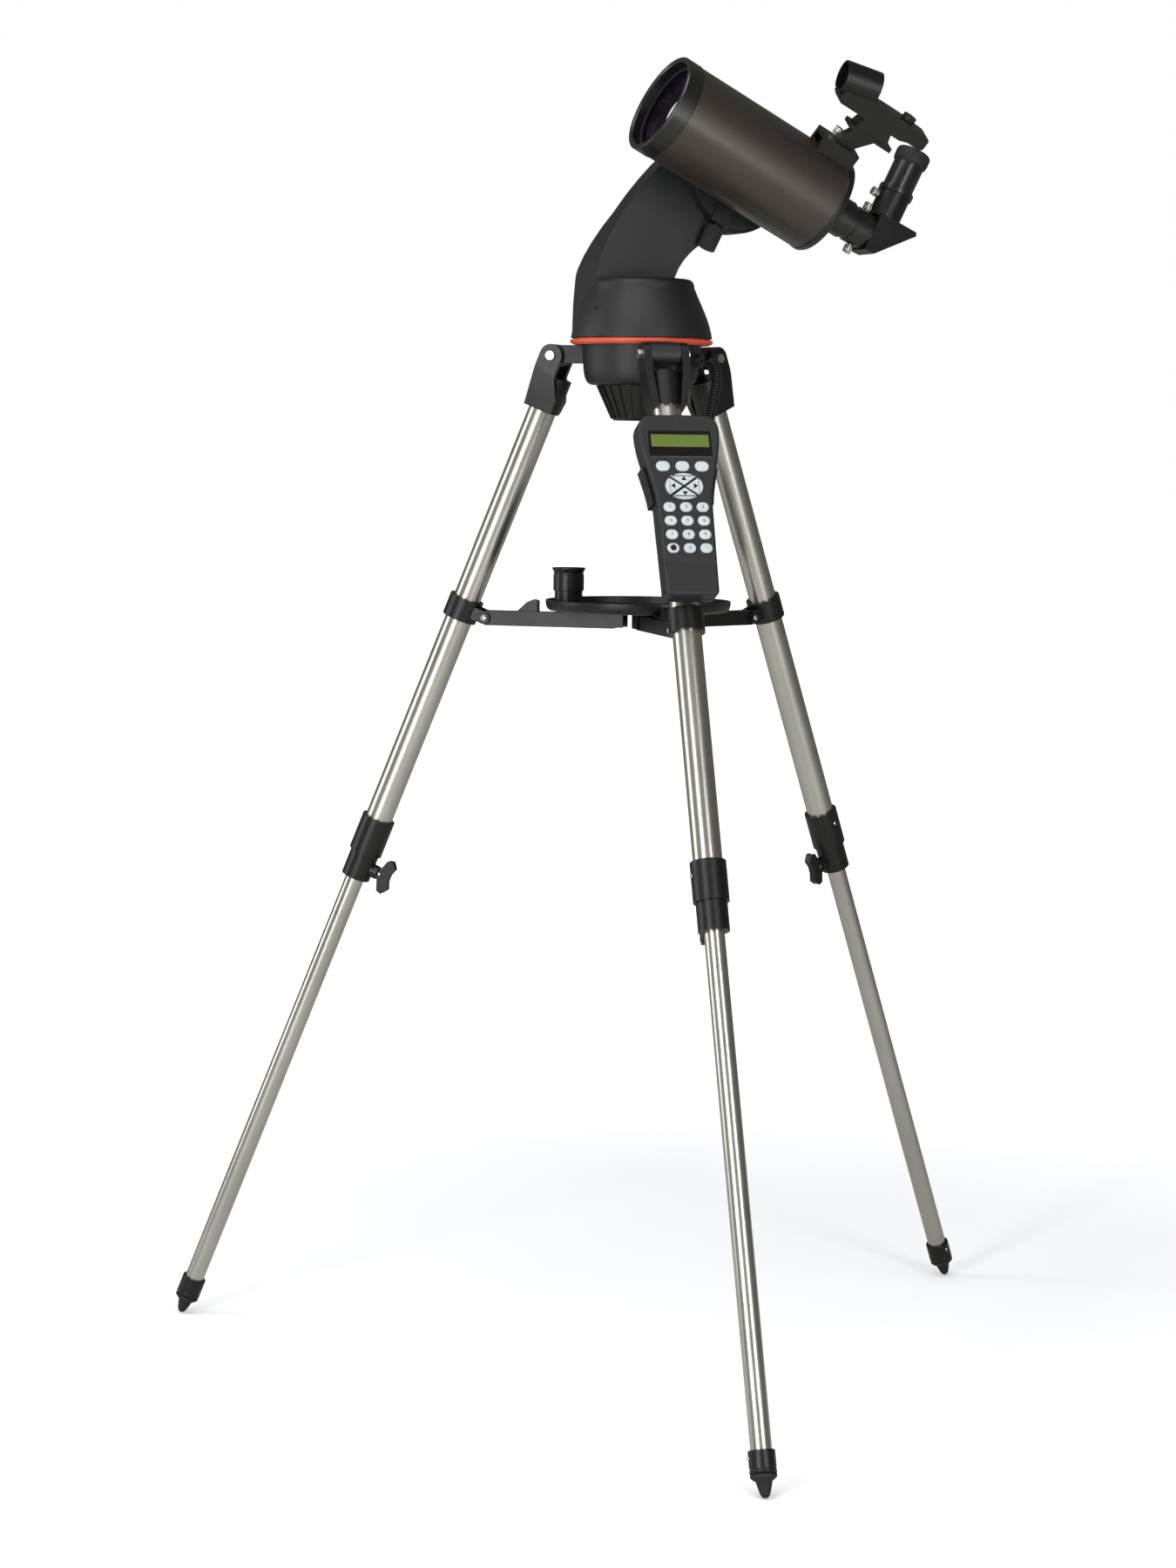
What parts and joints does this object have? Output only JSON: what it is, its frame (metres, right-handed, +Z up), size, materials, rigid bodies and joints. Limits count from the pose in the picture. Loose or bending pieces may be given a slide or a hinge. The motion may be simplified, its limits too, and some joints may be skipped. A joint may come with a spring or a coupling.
{
  "type": "compact telescope on motorised mount and tripod",
  "caption": "Short closed-tube telescope with finder and star diagonal on a single-arm motorised altazimuth mount, handset and folding steel tripod.",
  "frame": {"origin": "on the ground, on the tripod's axis", "axes": "+Z up along the tripod's axis, -Y along the front leg, tube pointing towards -X"},
  "size_m": [0.984, 0.8559, 1.4685],
  "materials": {
    "charcoal_plastic": "fine moulded texture",
    "black_plastic": "satin",
    "orange_ring": "satin",
    "tube_paint": "metallic satin",
    "cell_black": "satin anodised",
    "polished_steel": "polished stainless",
    "silver_metal": "turned",
    "gear_metal": "machined",
    "optic_glass": "coated",
    "mirror_coat": "aluminised",
    "key_grey": "soft touch",
    "display": "gloss",
    "rubber": "matt",
    "cord": "satin",
    "battery_steel": "satin"
  },
  "bodies": {
    "base": {"lower_shell": "charcoal_plastic", "azimuth_ring": "orange_ring", "azimuth_gear": "gear_metal", "leg_bolts": "polished_steel", "curly_cord": "cord"},
    "battery": {"battery_cup": "black_plastic", "battery_pack": "battery_steel"},
    "turning_mount": {"turntable": "charcoal_plastic", "base_cap": "charcoal_plastic", "azimuth_motor": "silver_metal", "arm": "charcoal_plastic", "arm_cover": "charcoal_plastic", "altitude_motor": "silver_metal"},
    "azimuth_pinion": {"azimuth_pinion": "gear_metal"},
    "altitude_pinion": {"altitude_pinion": "gear_metal"},
    "altitude_head": {"altitude_gear": "gear_metal", "saddle": "charcoal_plastic"},
    "saddle_knob": {"saddle_knob": "rubber"},
    "optical_tube": {"dovetail_bar": "cell_black", "tube": "tube_paint", "front_cell": "cell_black", "corrector": "optic_glass", "rear_cell": "cell_black", "visual_back": "cell_black", "thumb_screws": "polished_steel", "finder_bracket": "black_plastic", "finder_body": "black_plastic", "finder_window": "optic_glass"},
    "focus_knob": {"focus_knob": "rubber"},
    "mirror": {"primary_mirror": "mirror_coat"},
    "diagonal": {"diagonal_body": "black_plastic", "diagonal_prism": "optic_glass", "diagonal_screw": "polished_steel"},
    "eyepiece": {"eyepiece": "cell_black", "eyecup": "rubber"},
    "finder_dial": {"finder_dial": "black_plastic"},
    "handset": {"handset_case": "charcoal_plastic", "handset_display": "display"},
    "top_keys": {"top_keys": "key_grey"},
    "arrow_keys": {"arrow_keys": "key_grey"},
    "number_keys": {"number_keys": "key_grey"},
    "spreader_hub": {"spreader_hub": "black_plastic"},
    "tray": {"accessory_tray": "black_plastic"},
    "spare_eyepiece": {"spare_eyepiece": "black_plastic"},
    "leg_front": {"upper_tube_front": "polished_steel", "leg_fittings_front": "black_plastic", "handset_holder": "black_plastic"},
    "lower_leg_front": {"lower_leg_front": "polished_steel"},
    "clamp_knob_front": {"clamp_knob_front": "black_plastic"},
    "spreader_arm_front": {"spreader_arm_front": "black_plastic"},
    "leg_right": {"upper_tube_right": "polished_steel", "leg_fittings_right": "black_plastic"},
    "lower_leg_right": {"lower_leg_right": "polished_steel"},
    "clamp_knob_right": {"clamp_knob_right": "black_plastic"},
    "spreader_arm_right": {"spreader_arm_right": "black_plastic"},
    "leg_left": {"upper_tube_left": "polished_steel", "leg_fittings_left": "black_plastic"},
    "lower_leg_left": {"lower_leg_left": "polished_steel"},
    "clamp_knob_left": {"clamp_knob_left": "black_plastic"},
    "spreader_arm_left": {"spreader_arm_left": "black_plastic"}
  },
  "joints": [
    {"name": "battery_cup_drop", "type": "slide", "parent": "base", "child": "battery", "axis": [0, 0, -1], "range_m": [0, 0.06]},
    {"name": "azimuth", "type": "hinge", "parent": "base", "child": "turning_mount", "pos_m": [0, 0, 1.1765], "axis": [0, 0, 1], "continuous": true},
    {"name": "azimuth_pinion_spin", "type": "hinge", "parent": "turning_mount", "child": "azimuth_pinion", "pos_m": [-0.04092, -0.02363, 1.17], "axis": [0, 0, 1], "continuous": true},
    {"name": "altitude", "type": "hinge", "parent": "turning_mount", "child": "altitude_head", "pos_m": [0.11134, 0.01354, 1.35], "axis": [-0.1736, 0.9848, 0], "range_deg": [-45, 58]},
    {"name": "altitude_pinion_spin", "type": "hinge", "parent": "turning_mount", "child": "altitude_pinion", "pos_m": [0.0741, 0.0151, 1.32355], "axis": [-0.1736, 0.9848, 0], "range_deg": [-240, 240]},
    {"name": "saddle_knob_turn", "type": "hinge", "parent": "altitude_head", "child": "saddle_knob", "pos_m": [0.07766, -0.00458, 1.27872], "axis": [0.4471, 0.0788, 0.891], "range_deg": [0, 360]},
    {"name": "tube_in_saddle", "type": "slide", "parent": "altitude_head", "child": "optical_tube", "axis": [-0.8775, -0.1547, 0.454], "range_m": [0, 0.025]},
    {"name": "focus_knob_turn", "type": "hinge", "parent": "optical_tube", "child": "focus_knob", "pos_m": [0.19795, -0.01587, 1.30914], "axis": [-0.8775, -0.1547, 0.454], "range_deg": [-1800, 1800]},
    {"name": "mirror_slide", "type": "slide", "parent": "optical_tube", "child": "mirror", "axis": [-0.8775, -0.1547, 0.454], "range_m": [-0.004, 0.004]},
    {"name": "diagonal_turn", "type": "hinge", "parent": "optical_tube", "child": "diagonal", "pos_m": [0.2393, -0.04513, 1.29098], "axis": [-0.8775, -0.1547, 0.454], "range_deg": [-10, 90]},
    {"name": "eyepiece_slide", "type": "slide", "parent": "diagonal", "child": "eyepiece", "axis": [0.4471, 0.0788, 0.891], "range_m": [0, 0.035]},
    {"name": "finder_dial_turn", "type": "hinge", "parent": "optical_tube", "child": "finder_dial", "pos_m": [0.27332, -0.10564, 1.40659], "axis": [0.474, -0.4241, 0.7716], "range_deg": [0, 270]},
    {"name": "leg_fold", "type": "hinge", "parent": "base", "child": "leg_front", "pos_m": [0, -0.099, 1.145], "axis": [1, 0, 0], "range_deg": [0, 9.5], "deforming": ["curly_cord"]},
    {"name": "leg_front_slide", "type": "slide", "parent": "leg_front", "child": "lower_leg_front", "axis": [0, 0.3803, 0.9249], "range_m": [0, 0.45]},
    {"name": "clamp_knob_front_turn", "type": "hinge", "parent": "leg_front", "child": "clamp_knob_front", "pos_m": [0, -0.30589, 0.5424], "axis": [0, 0.9249, -0.3803], "range_deg": [0, 360]},
    {"name": "spreader_arm_front_turn", "type": "hinge", "parent": "leg_front", "child": "spreader_arm_front", "pos_m": [0, -0.1806, 0.84661], "axis": [1, 0, 0], "range_deg": [0, 35.5]},
    {"name": "leg_fold_right", "type": "hinge", "parent": "base", "child": "leg_right", "pos_m": [0.08574, 0.0495, 1.145], "axis": [-0.5, 0.866, 0], "range_deg": [0, 9.5]},
    {"name": "leg_right_slide", "type": "slide", "parent": "leg_right", "child": "lower_leg_right", "axis": [-0.3293, -0.1901, 0.9249], "range_m": [0, 0.45]},
    {"name": "clamp_knob_right_turn", "type": "hinge", "parent": "leg_right", "child": "clamp_knob_right", "pos_m": [0.26491, 0.15294, 0.5424], "axis": [-0.801, -0.4624, -0.3803], "range_deg": [0, 360]},
    {"name": "spreader_arm_right_turn", "type": "hinge", "parent": "leg_right", "child": "spreader_arm_right", "pos_m": [0.1564, 0.0903, 0.84661], "axis": [-0.5, 0.866, 0], "range_deg": [0, 35.5]},
    {"name": "leg_fold_left", "type": "hinge", "parent": "base", "child": "leg_left", "pos_m": [-0.08574, 0.0495, 1.145], "axis": [-0.5, -0.866, 0], "range_deg": [0, 9.5]},
    {"name": "leg_left_slide", "type": "slide", "parent": "leg_left", "child": "lower_leg_left", "axis": [0.3293, -0.1901, 0.9249], "range_m": [0, 0.45]},
    {"name": "clamp_knob_left_turn", "type": "hinge", "parent": "leg_left", "child": "clamp_knob_left", "pos_m": [-0.26491, 0.15294, 0.5424], "axis": [0.801, -0.4624, -0.3803], "range_deg": [0, 360]},
    {"name": "spreader_arm_left_turn", "type": "hinge", "parent": "leg_left", "child": "spreader_arm_left", "pos_m": [-0.1564, 0.0903, 0.84661], "axis": [-0.5, -0.866, 0], "range_deg": [0, 35.5]},
    {"name": "spreader_rise", "type": "slide", "parent": "base", "child": "spreader_hub", "axis": [0, 0, 1], "range_m": [0, 0.116]},
    {"name": "tray_lift", "type": "slide", "parent": "spreader_hub", "child": "tray", "axis": [0, 0, 1], "range_m": [0, 0.02]},
    {"name": "spare_eyepiece_lift", "type": "slide", "parent": "tray", "child": "spare_eyepiece", "axis": [0, 0, 1], "range_m": [0, 0.03]},
    {"name": "handset_lift", "type": "slide", "parent": "leg_front", "child": "handset", "axis": [0, -0.9249, 0.3803], "range_m": [0, 0.06]},
    {"name": "top_keys_press", "type": "slide", "parent": "handset", "child": "top_keys", "axis": [0, 0.9249, -0.3803], "range_m": [0, 0.0012], "stiffness_N_per_m": 400, "springref_m": -0.0005},
    {"name": "arrow_keys_press", "type": "slide", "parent": "handset", "child": "arrow_keys", "axis": [0, 0.9249, -0.3803], "range_m": [0, 0.0012], "stiffness_N_per_m": 400, "springref_m": -0.0005},
    {"name": "number_keys_press", "type": "slide", "parent": "handset", "child": "number_keys", "axis": [0, 0.9249, -0.3803], "range_m": [0, 0.0012], "stiffness_N_per_m": 400, "springref_m": -0.0005}
  ],
  "couplings": [
    {"joint": "azimuth_pinion_spin", "follows": "azimuth", "ratio": 3.2},
    {"joint": "altitude_pinion_spin", "follows": "altitude", "ratio": -4},
    {"joint": "focus_knob_turn", "follows": "mirror_slide", "rad_per_m": 7854},
    {"joint": "leg_fold_right", "follows": "leg_fold", "ratio": 1},
    {"joint": "leg_fold_left", "follows": "leg_fold", "ratio": 1},
    {"joint": "spreader_rise", "follows": "leg_fold", "m_per_rad": 0.6933},
    {"joint": "spreader_arm_front_turn", "follows": "leg_fold", "ratio": 3.7},
    {"joint": "spreader_arm_right_turn", "follows": "leg_fold", "ratio": 3.7},
    {"joint": "spreader_arm_left_turn", "follows": "leg_fold", "ratio": 3.7}
  ]
}
